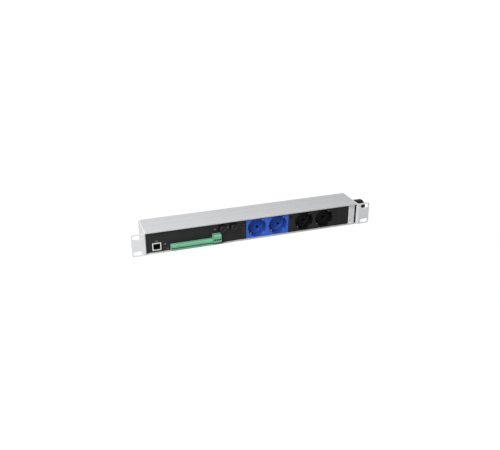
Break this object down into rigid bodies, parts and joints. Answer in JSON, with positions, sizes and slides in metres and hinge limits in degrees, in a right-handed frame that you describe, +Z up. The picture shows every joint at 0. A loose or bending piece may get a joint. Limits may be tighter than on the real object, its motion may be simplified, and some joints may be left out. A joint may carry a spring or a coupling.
{
  "type": "rack power distribution unit",
  "caption": "Slim aluminium rack power distribution unit with rack ears, a control panel with network port and pluggable terminals, fuses and twin earthed sockets.",
  "frame": {"origin": "centre of the four rack slots, on the rear face of the ears that seats on the rack rails", "axes": "+X to the right along the rack, seen from the front; +Y into the rack, away from the socket faces; +Z up"},
  "size_m": [0.489, 0.0743, 0.044],
  "materials": {
    "aluminium_plate": "satin",
    "aluminium_profile": "satin",
    "base_grey": "matte",
    "black_insert": "matte",
    "black_panel": "matte",
    "black_screw": "satin",
    "board_green": "satin",
    "contact_brass": "satin",
    "contact_gold": "gloss",
    "cover_silver": "satin",
    "earth_copper": "satin",
    "earth_nickel": "satin",
    "fuse_black": "satin",
    "fuse_glass": "gloss",
    "gland_black": "satin",
    "label_white": "satin",
    "lens_green": "gloss",
    "lens_grey": "gloss",
    "pin_tinned": "satin",
    "plated_steel": "satin",
    "potting_black": "matte",
    "relay_blue": "gloss",
    "seal_rubber": "matte",
    "socket_black": "satin",
    "socket_blue": "satin",
    "spacer_brass": "satin",
    "terminal_green": "satin",
    "terminal_grey": "matte",
    "wire_blue": "satin",
    "wire_brown": "satin",
    "wire_earth": "satin",
    "zinc_screw": "satin"
  },
  "bodies": {
    "unit": {"board_spacers": "spacer_brass", "board_terminal": "terminal_grey", "contact_bars": "contact_brass", "control_panel": "black_panel", "earth_bar_black": "earth_nickel", "earth_bar_blue": "earth_copper", "earth_wires": "wire_earth", "end_cover": "cover_silver", "end_cover_label": "label_white", "end_plate_left": "aluminium_plate", "end_plate_right": "aluminium_plate", "end_screws": "black_screw", "end_strip": "black_panel", "fuse_holder_1": "fuse_black", "fuse_holder_2": "fuse_black", "fuse_nuts": "fuse_black", "gland_body": "gland_black", "gland_gasket": "seal_rubber", "gland_locknut": "gland_black", "gland_nut": "gland_black", "gland_seal": "seal_rubber", "header_pins": "pin_tinned", "housing_profile": "aluminium_profile", "indicator_filler_1": "black_panel", "indicator_filler_2": "black_panel", "indicator_lens_1": "lens_grey", "indicator_lens_2": "lens_green", "io_board": "board_green", "line_wires": "wire_brown", "mains_terminal": "terminal_grey", "network_port_contacts": "contact_gold", "network_port_insert": "black_insert", "network_port_shell": "plated_steel", "neutral_wires": "wire_blue", "power_board": "board_green", "power_supply": "potting_black", "relays": "relay_blue", "socket_base_black": "base_grey", "socket_base_blue": "base_grey", "socket_block_black": "socket_black", "socket_block_blue": "socket_blue", "spacer_blank": "black_panel", "terminal_headers": "terminal_green", "wide_blank": "black_panel"},
    "terminal_plug_1": {"terminal_plug_1": "terminal_green", "plug_screws_1": "zinc_screw"},
    "terminal_plug_2": {"terminal_plug_2": "terminal_green", "plug_screws_2": "zinc_screw"},
    "terminal_plug_3": {"terminal_plug_3": "terminal_green", "plug_screws_3": "zinc_screw"},
    "terminal_plug_4": {"terminal_plug_4": "terminal_green", "plug_screws_4": "zinc_screw"},
    "terminal_plug_5": {"terminal_plug_5": "terminal_green", "plug_screws_5": "zinc_screw"},
    "fuse_cap_1": {"fuse_cap_1": "fuse_black", "fuse_link_1": "fuse_glass"},
    "fuse_cap_2": {"fuse_cap_2": "fuse_black", "fuse_link_2": "fuse_glass"}
  },
  "joints": [
    {"name": "terminal_plug_1_pull", "type": "slide", "parent": "unit", "child": "terminal_plug_1", "axis": [0, -1, 0], "range_m": [0, 0.01]},
    {"name": "terminal_plug_2_pull", "type": "slide", "parent": "unit", "child": "terminal_plug_2", "axis": [0, -1, 0], "range_m": [0, 0.01]},
    {"name": "terminal_plug_3_pull", "type": "slide", "parent": "unit", "child": "terminal_plug_3", "axis": [0, -1, 0], "range_m": [0, 0.01]},
    {"name": "terminal_plug_4_pull", "type": "slide", "parent": "unit", "child": "terminal_plug_4", "axis": [0, -1, 0], "range_m": [0, 0.01]},
    {"name": "terminal_plug_5_pull", "type": "slide", "parent": "unit", "child": "terminal_plug_5", "axis": [0, -1, 0], "range_m": [0, 0.012]},
    {"name": "fuse_cap_1_turn", "type": "hinge", "parent": "unit", "child": "fuse_cap_1", "pos_m": [-0.0691, 0, 0.0092], "axis": [0, 1, 0], "range_deg": [-45, 0]},
    {"name": "fuse_cap_2_turn", "type": "hinge", "parent": "unit", "child": "fuse_cap_2", "pos_m": [-0.0471, 0, 0.0092], "axis": [0, 1, 0], "range_deg": [-45, 0]}
  ]
}
